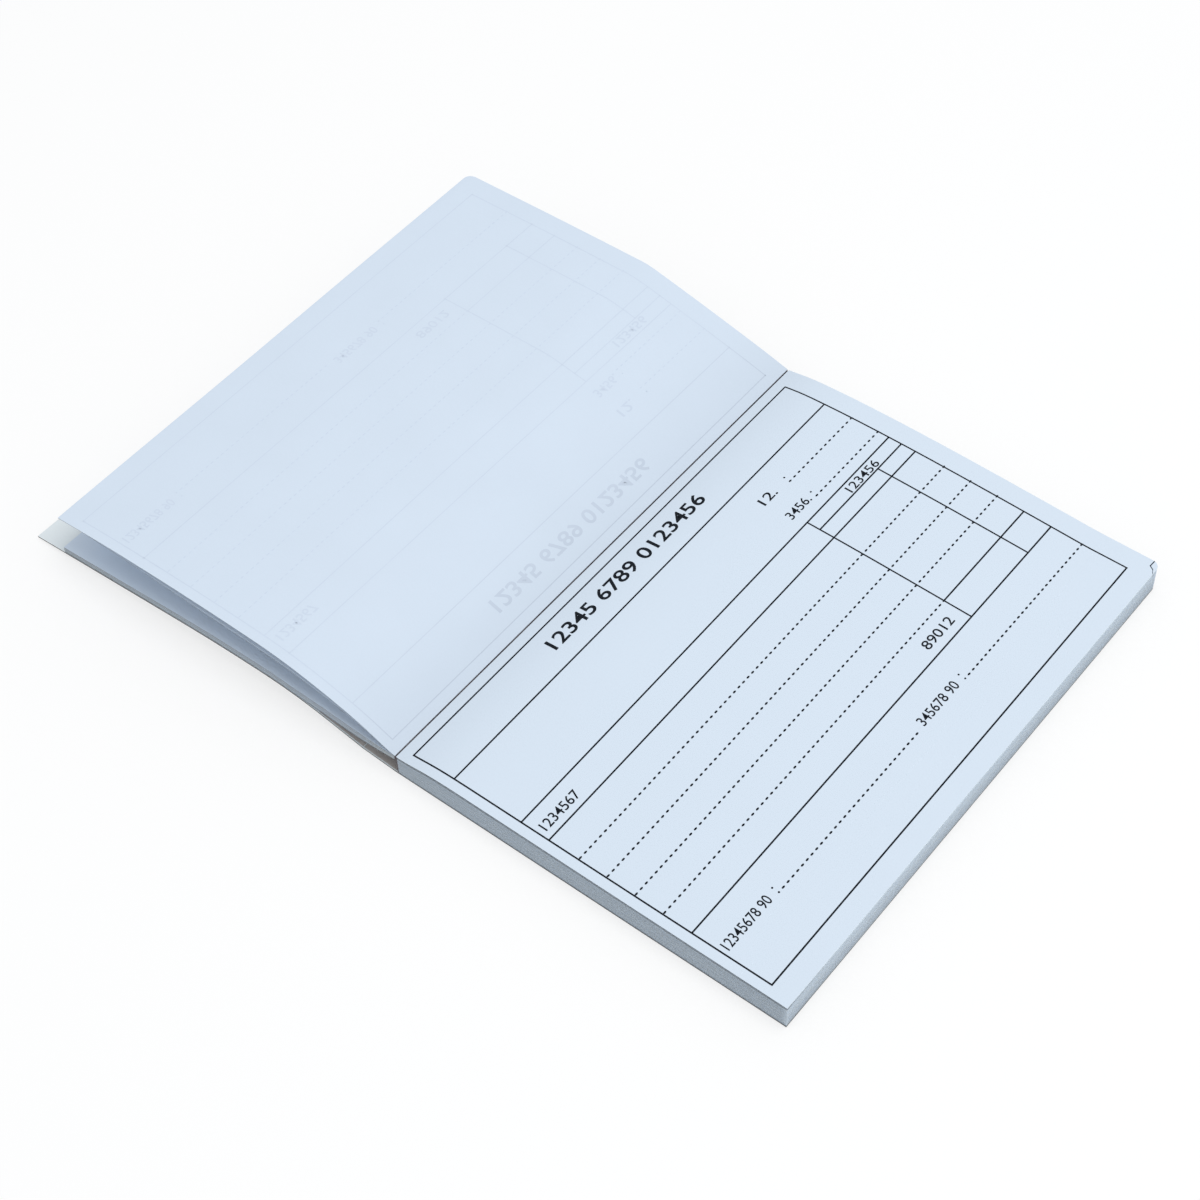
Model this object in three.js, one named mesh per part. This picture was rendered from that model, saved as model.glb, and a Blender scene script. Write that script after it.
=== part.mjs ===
// A petty cash voucher pad, lying open at its first unused voucher.
// The vouchers are landscape A6 leaves bound along their head, so the pad opens over its long side.
// Unused leaves lie as a block on the back cover. Used leaves are turned over the head onto the front cover.
// Frame: +X from the bound head to the foot of the form, +Y from the form's left to its right, +Z up,
// and the origin is at the middle of the block, on the underside of the back cover. Millimetres.

import * as THREE from "three";

// Leaves
const leafWidth = 148; // along the bound head
const leafDepth = 105; // from the head to the foot
const leafThickness = 0.085;
const leafAir = 0.01; // air that stays between pressed leaves
const footCornerRadius = 2; // the foot's right-hand corner is rounded
const looseLeaves = 3; // top vouchers that turn one by one
const sheaves = 24; // the rest of the block, in sheaves
const leavesPerSheaf = 3;
const usedLeaves = 18; // in the turned bundle

// Cover card and padding glue
const cardThickness = 0.3;
const creaseWidth = 0.3; // free card between two panels, so that the fold can reach a right angle
const filmThickness = 0.4;
const filmGap = 0.05; // between the two glue films where they fold over each other
const filmRim = 0.2; // how far a film's edge stays below the gutter
const blockOverhang = 0.6; // back cover past the head of the block

// How the block rises: its right-hand edge is puffed up, most of all a third of the way down
const puffHeight = 2;
const puffReach = 88;
const puffSkew = 0.63;

// How the turned leaves lie. A bend list holds [distance from the head, slope in degrees].
const creaseStart = 43; // the soft crease across the last turned leaf
const creaseEnd = 46;
const lastLeafLeftBends = [[0, 17], [22, 13.5], [42, 2], [leafDepth, -5]];
const lastLeafRightBends = [[0, 20], [6, 15], [creaseStart, 12.6], [creaseEnd, 0], [leafDepth, -1]];
const leftTuck = 0.5; // how much of a loose turned leaf the fold takes up, at its left and right ends
const rightTuck = 1.45;
const secondLeafSag = 1.9; // how far the second turned leaf hangs below the last one
const secondLeafSagReach = 95;
const gutterLeafGap = 0.05; // between sheets where they meet at the gutter
const usedPitchAtHead = 0.143;
const usedPitchAtFoot = 0.1;
const usedRestDistance = 30; // where the bundle comes to rest on the front cover
const usedHangPower = 1.2;
const sheetGap = 0.12; // between the bundle and the card below it

// How the cover lies: the spine strip tilts a little and the front panel arches down to the table
const stripSlope = 4.4;
const panelBends = [[0, 11.5], [10, 12], [30, 0], [58, -4.2]];
const panelFootHeight = 0.3;

// Mesh fineness
const sheetSteps = 14;
const cornerSteps = 4;
const lineStep = 1;
const settleRounds = 6;

// What follows from the sizes above
const leafPitch = leafThickness + leafAir;
const blockLeaves = sheaves * leavesPerSheaf + looseLeaves;
const gutterHeight = cardThickness + blockLeaves * leafPitch;
const gutterX = -filmThickness - filmGap / 2;
const turnedHeadX = 2 * gutterX;
const lastLeafHeadHeight = gutterHeight - gutterLeafGap / 2;
const secondLeafHeadHeight = lastLeafHeadHeight - leafThickness - gutterLeafGap;
const usedTopHeight = secondLeafHeadHeight - gutterLeafGap;
const usedHeadHeight = usedTopHeight - usedLeaves * usedPitchAtHead;
const stripWidth = gutterHeight + usedLeaves * usedPitchAtHead;
const creaseX = -blockOverhang - creaseWidth / 2;

// Distances from the head at which a sheet has a cross-section: even steps, then the rounded corner.
function sheetStations(depth, extra = []) {
  const straight = depth - footCornerRadius;
  const stations = [...extra];
  for (let i = 0; i <= sheetSteps; i++) {
    stations.push((straight * i) / sheetSteps);
  }
  for (let i = 1; i <= cornerSteps; i++) {
    stations.push(straight + footCornerRadius * Math.sin((Math.PI / 2) * (i / cornerSteps)));
  }
  return stations.sort((a, b) => a - b);
}

function slopeAt(bends, distance) {
  const next = bends.findIndex(([at]) => at >= distance);
  if (next < 0) return bends.at(-1)[1];
  if (next === 0) return bends[0][1];
  const [from, slopeFrom] = bends[next - 1];
  const [to, slopeTo] = bends[next];
  return slopeFrom + ((slopeTo - slopeFrom) * (distance - from)) / (to - from);
}

// The line that a bent sheet's side follows from its head, walked in short steps so that its length is true.
function bentLine(head, bends, length, tilt = 0) {
  const line = [head];
  const steps = Math.ceil(length / lineStep);
  const step = length / steps;
  for (let i = 0; i < steps; i++) {
    const angle = THREE.MathUtils.degToRad(slopeAt(bends, (i + 0.5) * step) + tilt);
    const last = line[i];
    line.push({ x: last.x - step * Math.cos(angle), z: last.z + step * Math.sin(angle) });
  }
  return line;
}

// The points of a line at given distances along it.
function pointsAlong(line, distances) {
  let i = 1;
  let walked = 0;
  let span = Math.hypot(line[1].x - line[0].x, line[1].z - line[0].z);
  return distances.map((distance) => {
    while (walked + span < distance && i < line.length - 1) {
      walked += span;
      i++;
      span = Math.hypot(line[i].x - line[i - 1].x, line[i].z - line[i - 1].z);
    }
    const share = (distance - walked) / span;
    return {
      x: THREE.MathUtils.lerp(line[i - 1].x, line[i].x, share),
      z: THREE.MathUtils.lerp(line[i - 1].z, line[i].z, share),
    };
  });
}

// The same points moved off by a thickness, square to the sheet.
function thickened(points, thickness) {
  return points.map((point, i) => {
    const before = points[Math.max(i - 1, 0)];
    const after = points[Math.min(i + 1, points.length - 1)];
    const run = Math.hypot(after.x - before.x, after.z - before.z);
    const side = Math.sign(after.x - before.x);
    return {
      x: point.x - (side * thickness * (after.z - before.z)) / run,
      z: point.z + (side * thickness * (after.x - before.x)) / run,
    };
  });
}

// A sheet lofted between its left and right side lines. Each line has an under and an over face.
// Past the straight part the right side comes in, which rounds the foot's right-hand corner.
function sheetGeometry(left, right, stations) {
  const straight = stations.at(-1) - footCornerRadius;
  const positions = [];
  stations.forEach((station, i) => {
    const into = Math.min(Math.max(station - straight, 0), footCornerRadius);
    const inset = footCornerRadius - Math.sqrt(footCornerRadius ** 2 - into ** 2);
    const width = leafWidth - inset;
    const share = width / leafWidth;
    const corner = (face) => [
      THREE.MathUtils.lerp(left[face][i].x, right[face][i].x, share),
      width,
      THREE.MathUtils.lerp(left[face][i].z, right[face][i].z, share),
    ];
    positions.push(left.under[i].x, 0, left.under[i].z);
    positions.push(...corner("under"));
    positions.push(...corner("over"));
    positions.push(left.over[i].x, 0, left.over[i].z);
  });
  const faces = [];
  const quad = (a, b, c, d) => faces.push(a, b, c, a, c, d);
  const last = (stations.length - 1) * 4;
  quad(0, 3, 2, 1);
  quad(last, last + 1, last + 2, last + 3);
  for (let ring = 0; ring < last; ring += 4) {
    const [leftUnder, rightUnder, rightOver, leftOver] = [ring, ring + 1, ring + 2, ring + 3];
    const [nextLeftUnder, nextRightUnder, nextRightOver, nextLeftOver] = [4, 5, 6, 7].map((k) => ring + k);
    // Under and over faces split along the same diagonal, so that twisted sheets nest.
    quad(leftUnder, rightUnder, nextRightUnder, nextLeftUnder);
    quad(leftOver, nextLeftOver, nextRightOver, rightOver);
    quad(rightUnder, rightOver, nextRightOver, nextRightUnder);
    quad(leftOver, leftUnder, nextLeftUnder, nextLeftOver);
  }
  if (left.under[1].x < left.under[0].x) faces.reverse();
  const geometry = new THREE.BufferGeometry();
  geometry.setAttribute("position", new THREE.Float32BufferAttribute(positions, 3));
  geometry.setIndex(faces);
  geometry.computeVertexNormals();
  return geometry;
}

// A sheet of even thickness from the lines that its two sides' undersides follow.
// A tuck shortens a side by what the fold at the head takes up.
function bentSheet(leftLine, rightLine, thickness, stations, tucks = [0, 0]) {
  const sideOf = (line, tuck) => {
    const share = 1 - tuck / stations.at(-1);
    const under = pointsAlong(line, stations.map((station) => station * share));
    return { under, over: thickened(under, thickness) };
  };
  return sheetGeometry(sideOf(leftLine, tucks[0]), sideOf(rightLine, tucks[1]), stations);
}

// The block's puffed right-hand edge, for a leaf that lies a share of the way up the block.
function puffAt(distance, share) {
  if (distance >= puffReach) return 0;
  return share * puffHeight * Math.sin(Math.PI * (distance / puffReach) ** puffSkew);
}

// A leaf or sheaf of the block, from one leaf count above the back cover to another.
function blockSheet(fromLeaf, toLeaf) {
  const stations = sheetStations(leafDepth);
  const face = (leaf, air, puffed) =>
    stations.map((x) => ({
      x,
      z: cardThickness + leaf * leafPitch - air + puffed * puffAt(x, leaf / blockLeaves),
    }));
  const side = (puffed) => ({
    under: face(fromLeaf, 0, puffed),
    over: face(toLeaf, leafAir, puffed),
  });
  return sheetGeometry(side(0), side(1), stations);
}

// The dried padding glue on a bound head, with its free edge rounded over.
function filmGeometry(x, fromHeight, toHeight) {
  const round = filmThickness / 2;
  const outline = new THREE.Shape();
  outline.moveTo(x, fromHeight);
  outline.lineTo(x + filmThickness, fromHeight);
  outline.lineTo(x + filmThickness, toHeight - round);
  outline.absarc(x + round, toHeight - round, round, 0, Math.PI);
  outline.closePath();
  const film = new THREE.ExtrudeGeometry(outline, {
    depth: leafWidth,
    bevelEnabled: false,
    curveSegments: 6,
  });
  return film.rotateX(Math.PI / 2).translate(0, leafWidth, 0);
}

// The back cover: a flat card under the block.
function backCover() {
  const stations = sheetStations(leafDepth + blockOverhang);
  const side = {
    under: stations.map((distance) => ({ x: distance - blockOverhang, z: 0 })),
    over: stations.map((distance) => ({ x: distance - blockOverhang, z: cardThickness })),
  };
  return sheetGeometry(side, side, stations);
}

// The spine strip's underside, from the back crease to the front one.
const stripLine = bentLine({ x: creaseX, z: 0 }, [[0, stripSlope]], stripWidth);

// The front panel leans until its foot edge comes down to the table.
function settledPanelLine() {
  let tilt = 0;
  let line;
  for (let i = 0; i < settleRounds; i++) {
    line = bentLine(stripLine.at(-1), panelBends, leafDepth + lineStep, tilt);
    const foot = pointsAlong(line, [leafDepth])[0];
    tilt += THREE.MathUtils.radToDeg((panelFootHeight - foot.z) / leafDepth);
  }
  return line;
}
const panelLine = settledPanelLine();

// The spine strip: one straight piece of card from crease to crease, with no rounded corner.
function spineStrip() {
  const under = pointsAlong(stripLine, [creaseWidth / 2, stripWidth - creaseWidth / 2]);
  const over = thickened(under, cardThickness);
  const outline = new THREE.Shape();
  [under[0], over[0], over[1], under[1]].forEach(({ x, z }, i) =>
    i ? outline.lineTo(x, z) : outline.moveTo(x, z),
  );
  outline.closePath();
  const strip = new THREE.ExtrudeGeometry(outline, { depth: leafWidth, bevelEnabled: false });
  return strip.rotateX(Math.PI / 2).translate(0, leafWidth, 0);
}

function frontCover() {
  const stations = sheetStations(leafDepth).map((distance) => Math.max(distance, creaseWidth / 2));
  return bentSheet(panelLine, panelLine, cardThickness, stations);
}

// Height of a line above the table at a given x.
function heightAt(line, x) {
  const next = line.findIndex((point) => point.x <= x);
  if (next <= 0) return line[Math.max(next, 0)].z;
  const { x: fromX, z: fromZ } = line[next - 1];
  const { x: toX, z: toZ } = line[next];
  return fromZ + ((toZ - fromZ) * (x - fromX)) / (toX - fromX);
}

// The bundle hangs from the gutter and comes down onto the card, then follows it to the foot.
const cardTop = thickened([...stripLine, ...panelLine.slice(1)], cardThickness);
const usedHang = usedHeadHeight - heightAt(cardTop, turnedHeadX) - sheetGap;

function usedLeafLine(leaf) {
  const reach = leafDepth + lineStep;
  const line = [];
  for (let distance = 0; distance <= reach; distance += lineStep) {
    const x = turnedHeadX - distance;
    const hang = usedHang * Math.max(1 - distance / usedRestDistance, 0) ** usedHangPower;
    const pitch = THREE.MathUtils.lerp(usedPitchAtHead, usedPitchAtFoot, distance / reach);
    line.push({ x, z: heightAt(cardTop, x) + sheetGap + hang + leaf * pitch });
  }
  return line;
}

function usedLeaf(leaf) {
  const line = usedLeafLine(leaf);
  return bentSheet(line, line, leafThickness, sheetStations(leafDepth));
}

// The last turned leaf stands off the bundle: it climbs from the gutter to a soft crease, then lies level.
const lastLeafHead = { x: turnedHeadX, z: lastLeafHeadHeight };
const lastLeafLeft = bentLine(lastLeafHead, lastLeafLeftBends, leafDepth + lineStep);
const lastLeafRight = bentLine(lastLeafHead, lastLeafRightBends, leafDepth + lineStep);
const lastLeafStations = sheetStations(leafDepth, [creaseStart, creaseEnd]);

function lastTurnedLeaf() {
  return bentSheet(lastLeafLeft, lastLeafRight, leafThickness, lastLeafStations, [leftTuck, rightTuck]);
}

// The second turned leaf follows the last one and sags below it between the gutter and the foot.
function secondTurnedLeaf() {
  const sagged = (line) =>
    line.map(({ x, z }, i) => {
      const along = Math.min((i * lineStep) / secondLeafSagReach, 1);
      return { x, z: z - leafThickness - gutterLeafGap - secondLeafSag * Math.sin(Math.PI * along) };
    });
  const left = sagged(lastLeafLeft);
  const right = sagged(lastLeafRight);
  return bentSheet(left, right, leafThickness, lastLeafStations, [leftTuck, rightTuck]);
}

const paper = { color: 0xd6e1f0, roughness: 0.75, metalness: 0 };
const turnedPaper = { color: 0xcfdbea, roughness: 0.78, metalness: 0 };
const edgePaper = { color: 0xb9c4d2, roughness: 0.85, metalness: 0 };
const card = { color: 0xc9d1d3, roughness: 0.6, metalness: 0 };
const glue = { color: 0x6f6468, roughness: 0.45, metalness: 0 };

const pad = new THREE.Group();
pad.name = "voucher_pad";
pad.position.set(-leafDepth / 2, -leafWidth / 2, 0);

function addPiece(name, geometry, look) {
  const mesh = new THREE.Mesh(geometry, new THREE.MeshStandardMaterial(look));
  mesh.name = name;
  pad.add(mesh);
}

function twoDigits(number) {
  return String(number).padStart(2, "0");
}

addPiece("back_cover", backCover(), card);
addPiece("spine_strip", spineStrip(), card);
addPiece("front_cover", frontCover(), card);

for (let i = 0; i < sheaves; i++) {
  const from = i * leavesPerSheaf;
  addPiece(`voucher_sheaf_${twoDigits(i + 1)}`, blockSheet(from, from + leavesPerSheaf), edgePaper);
}
for (let i = 0; i < looseLeaves; i++) {
  const under = blockLeaves - i - 1;
  addPiece(`voucher_${i + 1}`, blockSheet(under, under + 1), paper);
}
addPiece("block_glue_film", filmGeometry(-filmThickness, cardThickness, gutterHeight - filmRim), glue);

for (let i = 0; i < usedLeaves; i++) {
  addPiece(`used_voucher_${twoDigits(i + 1)}`, usedLeaf(i), turnedPaper);
}
addPiece("used_glue_film", filmGeometry(turnedHeadX, usedHeadHeight, usedTopHeight), glue);
addPiece("second_turned_voucher", secondTurnedLeaf(), turnedPaper);
addPiece("last_turned_voucher", lastTurnedLeaf(), turnedPaper);

const part = new THREE.Group();
part.add(pad);

export default part;
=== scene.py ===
# %% [markdown]
# # A petty cash voucher pad, dressed for its picture
#
# The pad is a block of printed slips glued along their head, inside a card cover. It lies open at a fresh
# slip, with the used ones turned over to the left. The construction model already holds every piece at its
# real size. This script loads it as a fixed frame and gives each sheet a smooth, thin, paper-like body with
# print, cut edges and a little unevenness. Sizes are in metres.

import math
import random

import bmesh
import bpy
import numpy as np
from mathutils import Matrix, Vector


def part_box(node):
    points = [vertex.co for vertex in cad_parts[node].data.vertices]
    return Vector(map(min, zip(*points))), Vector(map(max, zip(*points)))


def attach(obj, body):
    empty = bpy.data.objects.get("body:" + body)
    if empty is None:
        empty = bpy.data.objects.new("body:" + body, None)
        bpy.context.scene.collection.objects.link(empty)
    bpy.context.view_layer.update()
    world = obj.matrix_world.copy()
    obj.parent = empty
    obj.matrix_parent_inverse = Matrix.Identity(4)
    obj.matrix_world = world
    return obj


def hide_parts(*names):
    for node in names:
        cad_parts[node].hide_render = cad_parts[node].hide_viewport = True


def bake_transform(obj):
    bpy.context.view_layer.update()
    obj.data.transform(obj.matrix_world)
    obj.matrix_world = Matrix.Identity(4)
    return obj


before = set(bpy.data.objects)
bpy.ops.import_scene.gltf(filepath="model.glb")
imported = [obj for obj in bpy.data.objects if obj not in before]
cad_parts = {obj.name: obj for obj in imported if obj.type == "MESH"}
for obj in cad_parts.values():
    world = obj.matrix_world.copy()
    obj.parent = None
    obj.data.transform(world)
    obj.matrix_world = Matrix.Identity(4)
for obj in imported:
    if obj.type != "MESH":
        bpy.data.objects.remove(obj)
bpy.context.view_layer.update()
mm = 0.001

# %% Add things to the scene


def add_object(name, data):
    """A new object in the scene, for a camera, a lamp, a mesh or a line of text."""
    thing = bpy.data.objects.new(name, data)
    bpy.context.scene.collection.objects.link(thing)
    return thing


def add_mesh(name, points, faces, materials):
    mesh = bpy.data.meshes.new(name)
    mesh.from_pydata(np.asarray(points).tolist(), [], [list(map(int, face)) for face in faces])
    for material in materials:
        mesh.materials.append(material)
    return add_object(name, mesh)


# %% [markdown]
# ## Camera
#
# The picture was taken from the front right, about fifty degrees above the table, with a short telephoto
# lens. The camera is set by its azimuth, elevation and a slight roll, which reads better than a matrix. Its
# place came from fitting a pinhole camera to the page's corners.

# %% Camera
camera_place = Vector((192.1, -295.0, 449.0)) * mm
camera_azimuth = math.radians(39.91)
camera_elevation = math.radians(50.18)
camera_roll = math.radians(-2.14)
camera_lens = 75.1
camera_sensor = 36
camera_nearest = 0.01


def camera_axes(azimuth, elevation, roll):
    """Right, up and back of a camera that looks at the object from that side."""
    flat = math.cos(elevation)
    back = Vector((math.sin(azimuth) * flat, -math.cos(azimuth) * flat, math.sin(elevation)))
    level = Vector((math.cos(azimuth), math.sin(azimuth), 0))
    right = level * math.cos(roll) + back.cross(level) * math.sin(roll)
    return right, back.cross(right), back


def make_camera():
    data = bpy.data.cameras.new("camera")
    data.lens = camera_lens
    data.sensor_width = camera_sensor
    data.clip_start = camera_nearest
    camera = add_object("camera", data)
    right, up, back = camera_axes(camera_azimuth, camera_elevation, camera_roll)
    for row in range(3):
        camera.matrix_world[row][0:4] = [right[row], up[row], back[row], camera_place[row]]
    bpy.context.scene.camera = camera


make_camera()
print("camera lens, mm:", camera_lens)

# %% [markdown]
# ## Node trees
#
# The light, the papers and the stacked leaves are all small node trees, so a few helpers come first. Every
# input of a node is filled in the same way, from a number, a colour or another node's output.

# %% Small helpers for node trees


def srgb(red, green, blue):
    """A screen colour from 0 to 255 as the linear colour that shaders use."""

    def linear(part):
        part /= 255
        return part / 12.92 if part <= 0.04045 else ((part + 0.055) / 1.055) ** 2.4

    return (linear(red), linear(green), linear(blue), 1)


def fill(tree, socket, value):
    """Sets a socket to a number, or links it when the value is another socket."""
    if isinstance(value, bpy.types.NodeSocket):
        tree.links.new(value, socket)
    else:
        socket.default_value = value


def node_in(tree, kind, inputs=None, **settings):
    """A new node with its settings, and its inputs filled by name or number."""
    node = tree.nodes.new(kind)
    for key, value in settings.items():
        setattr(node, key, value)
    for key, value in (inputs or {}).items():
        fill(tree, node.inputs[key], value)
    return node


def node_value(tree, kind, inputs=None, **settings):
    """The first output of a new node."""
    return node_in(tree, kind, inputs, **settings).outputs[0]


def new_tree(name, kind, inputs, outputs):
    """A node group with its inputs and outputs by name and kind, and the sockets its inputs arrive at."""
    tree = bpy.data.node_groups.new(name, kind + "NodeTree")
    for in_out, sockets in (("INPUT", inputs), ("OUTPUT", outputs)):
        for title, socket in sockets.items():
            tree.interface.new_socket(title, in_out=in_out, socket_type="NodeSocket" + socket)
    return tree, node_in(tree, "NodeGroupInput").outputs


def emptied_tree(owner):
    """The node tree of a world or a material, with nothing in it yet."""
    owner.use_nodes = True
    owner.node_tree.nodes.clear()
    return owner.node_tree


def math_node(tree, operation, first, second):
    return node_value(tree, "ShaderNodeMath", {0: first, 1: second}, operation=operation)


def scaled(tree, vector, factor):
    """A colour or a vector, times a number."""
    return node_value(tree, "ShaderNodeVectorMath", {0: vector, "Scale": factor}, operation="SCALE")


def own_place(tree):
    """The shaded place in the piece's own frame."""
    return node_in(tree, "ShaderNodeTexCoord").outputs["Object"]


def noise(tree, scale, detail, seed):
    """Noise over the piece's own place, with its scale in cycles per metre."""
    inputs = {"Vector": own_place(tree), "Scale": scale, "Detail": detail, "W": seed}
    return node_in(tree, "ShaderNodeTexNoise", inputs, noise_dimensions="4D").outputs["Fac"]


def ramp(tree, value, from_low, from_high):
    """The value as a share of the way from one number to another, kept between 0 and 1."""
    inputs = {"Value": value, "From Min": from_low, "From Max": from_high}
    return node_in(tree, "ShaderNodeMapRange", inputs).outputs["Result"]


print("middle grey, linear:", round(srgb(128, 128, 128)[0], 3))

# %% [markdown]
# ## Light
#
# White paper on a white table needs soft light at a plain level, or its faint shading burns out. A pale sky
# fills from all sides. One large lamp over the block makes the top faces brightest and leaves the near side
# darker, as in the picture. The camera sees plain white where the sky would be.

# %% Light
white = (1, 1, 1, 1)
sky_colour = (0.95, 0.975, 1.0, 1)
sky_strength = 0.75
lamp_colour = (1.0, 0.985, 0.96)
lamp_power = 3.35
lamp_place = Vector((0.18, 0.06, 0.95))
lamp_size = 0.7


def make_world():
    world = bpy.data.worlds.new("studio")
    bpy.context.scene.world = world
    tree = emptied_tree(world)
    sky = node_value(tree, "ShaderNodeBackground", {"Color": sky_colour, "Strength": sky_strength})
    seen = node_value(tree, "ShaderNodeBackground", {"Color": white})
    rays = node_in(tree, "ShaderNodeLightPath").outputs
    seeing = math_node(tree, "MAXIMUM", rays["Is Camera Ray"], rays["Is Glossy Ray"])
    seeing = math_node(tree, "MAXIMUM", seeing, rays["Is Transmission Ray"])
    mix = node_value(tree, "ShaderNodeMixShader", {0: seeing, 1: sky, 2: seen})
    node_in(tree, "ShaderNodeOutputWorld", {"Surface": mix})


def make_lamp():
    data = bpy.data.lights.new("soft_box", "AREA")
    data.shape = "DISK"
    data.size = lamp_size
    data.energy = lamp_power
    data.color = lamp_colour
    lamp = add_object("soft_box", data)
    lamp.location = lamp_place
    lamp.rotation_mode = "QUATERNION"
    lamp.rotation_quaternion = (-lamp_place).to_track_quat("-Z", "Y")


make_world()
make_lamp()
bpy.context.scene.view_settings.view_transform = "Standard"
print("lamp, W:", lamp_power)

# %% [markdown]
# ## Floor
#
# The table is matte white. For the camera it is half matte and half glowing: its shadows stay, but soft, and
# the pad stands on a clean ground. Light that bounces back to the pad comes from the plain matte.

# %% Floor
floor_size = 6.0
floor_colour = (0.82, 0.82, 0.82, 1)
floor_seen_colour = (0.30, 0.30, 0.30, 1)
floor_seen_glow = 0.69


def floor_material():
    material = bpy.data.materials.new("pale_table")
    tree = emptied_tree(material)
    matte = node_value(tree, "ShaderNodeBsdfDiffuse", {"Color": floor_colour})
    seen = node_value(tree, "ShaderNodeBsdfDiffuse", {"Color": floor_seen_colour})
    glow = node_value(tree, "ShaderNodeEmission", {"Strength": floor_seen_glow})
    both = node_value(tree, "ShaderNodeAddShader", {0: seen, 1: glow})
    camera_ray = node_in(tree, "ShaderNodeLightPath").outputs["Is Camera Ray"]
    mix = node_value(tree, "ShaderNodeMixShader", {0: camera_ray, 1: matte, 2: both})
    node_in(tree, "ShaderNodeOutputMaterial", {"Surface": mix})
    return material


def make_floor():
    half = floor_size / 2
    corners = [(-half, -half, 0), (half, -half, 0), (half, half, 0), (-half, half, 0)]
    floor = add_mesh("table_top", corners, [(0, 1, 2, 3)], [floor_material()])


make_floor()
print("floor, m:", floor_size)

# %% [markdown]
# ## Paper grain
#
# The slips are a cheap bluish-white bond. Close up, such paper is not one colour: its fibres give it a fine
# grain, and it looks cloudy where light falls across it. An image would do for one view, but a procedural
# grain holds at any distance. Every paper and card here shares one node group, which puts out a colour and
# a height, so that each sheet can have its own tint and strength.

# %% The paper grain group
cloud_scale = 55
fibre_scale = 2600
fibre_relief = 0.02 * mm
paper_sheen = 0.25


def paper_grain_group():
    inputs = {"Tint": "Color", "Cloud": "Float", "Fibre": "Float"}
    group, enter = new_tree("paper grain", "Shader", inputs, {"Color": "Color", "Height": "Float"})
    cloud = math_node(group, "SUBTRACT", noise(group, cloud_scale, detail=3, seed=0.2), 0.5)
    height = noise(group, fibre_scale, detail=4, seed=1.7)
    fibre = math_node(group, "SUBTRACT", height, 0.5)
    cloudiness = math_node(group, "MULTIPLY", cloud, enter["Cloud"])
    graininess = math_node(group, "MULTIPLY", fibre, enter["Fibre"])
    change = math_node(group, "ADD", math_node(group, "ADD", cloudiness, graininess), 1.0)
    colour = scaled(group, enter["Tint"], change)
    node_in(group, "NodeGroupOutput", {"Color": colour, "Height": height})
    return group


def plain_material(name, roughness, sheen):
    """A new material, its node tree and the inputs of its shader."""
    material = bpy.data.materials.new(name)
    material.use_nodes = True
    finish = material.node_tree.nodes["Principled BSDF"].inputs
    finish["Roughness"].default_value = roughness
    finish["Specular IOR Level"].default_value = sheen
    return material, material.node_tree, finish


def paper_material(name, tint, cloud, fibre, roughness, bump):
    """A matte paper or card. Its grain node is named, for finishes built on it."""
    material, tree, finish = plain_material(name, roughness, paper_sheen)
    strengths = {"Tint": tint, "Cloud": cloud, "Fibre": fibre}
    grain = node_in(tree, "ShaderNodeGroup", strengths, name="grain", node_tree=paper_grain).outputs
    relief = {"Strength": bump, "Distance": fibre_relief, "Height": grain["Height"]}
    fill(tree, finish["Base Color"], grain["Color"])
    fill(tree, finish["Normal"], node_in(tree, "ShaderNodeBump", relief).outputs["Normal"])
    return material


paper_grain = paper_grain_group()
print("paper grain nodes:", len(paper_grain.nodes))

# %% [markdown]
# Painted shade makes the leaves a little darker beside the gutter, where they dip and get less light. A
# second node group gives that as a factor, and it is laid over the colour of the two papers here and of the
# show-through below.

# %% The papers
gutter_shade = 0.08
gutter_shade_reach = 26 * mm


def gutter_shade_group():
    """The painted gutter shade, as a factor over a leaf: a little less than 1 at the gutter, then 1."""
    group, enter = new_tree("gutter shade", "Shader", {"Shade": "Float"}, {"Factor": "Float"})
    x = node_in(group, "ShaderNodeSeparateXYZ", {0: own_place(group)}).outputs["X"]
    from_gutter = math_node(group, "SUBTRACT", x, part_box("block_glue_film")[0].x)
    away = math_node(group, "ABSOLUTE", from_gutter, 0.0)
    near = ramp(group, away, gutter_shade_reach, 0.0)
    near = math_node(group, "MULTIPLY", near, near)
    shaded = math_node(group, "MULTIPLY", near, enter["Shade"])
    node_in(group, "NodeGroupOutput", {"Factor": math_node(group, "SUBTRACT", 1.0, shaded)})
    return group


def shade_at_gutter(material, amount):
    """Puts the gutter shade over whatever colour the material has."""
    tree = material.node_tree
    shade = node_in(tree, "ShaderNodeGroup", node_tree=shade_group)
    fill(tree, shade.inputs["Shade"], amount)
    base = tree.nodes["Principled BSDF"].inputs["Base Color"]
    fill(tree, base, scaled(tree, base.links[0].from_socket, shade.outputs["Factor"]))


shade_group = gutter_shade_group()
page_paper = paper_material(
    "bond_paper", srgb(213, 225, 238), cloud=0.02, fibre=0.03, roughness=0.7, bump=0.35
)
turned_paper = paper_material(
    "bond_paper_back", srgb(212, 224, 238), cloud=0.05, fibre=0.04, roughness=0.75, bump=0.45
)
shade_at_gutter(page_paper, gutter_shade)
shade_at_gutter(turned_paper, gutter_shade)
cover_card = paper_material(
    "cover_card", srgb(224, 231, 234), cloud=0.05, fibre=0.05, roughness=0.5, bump=0.25
)
# The card edge's colour is the card's grey core, darkened further with painted shadow along the table.
card_edge = paper_material("card_edge", srgb(58, 49, 45), cloud=0.15, fibre=0.30, roughness=0.9, bump=0.6)
print("papers:", page_paper.name, turned_paper.name, cover_card.name, card_edge.name)
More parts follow.
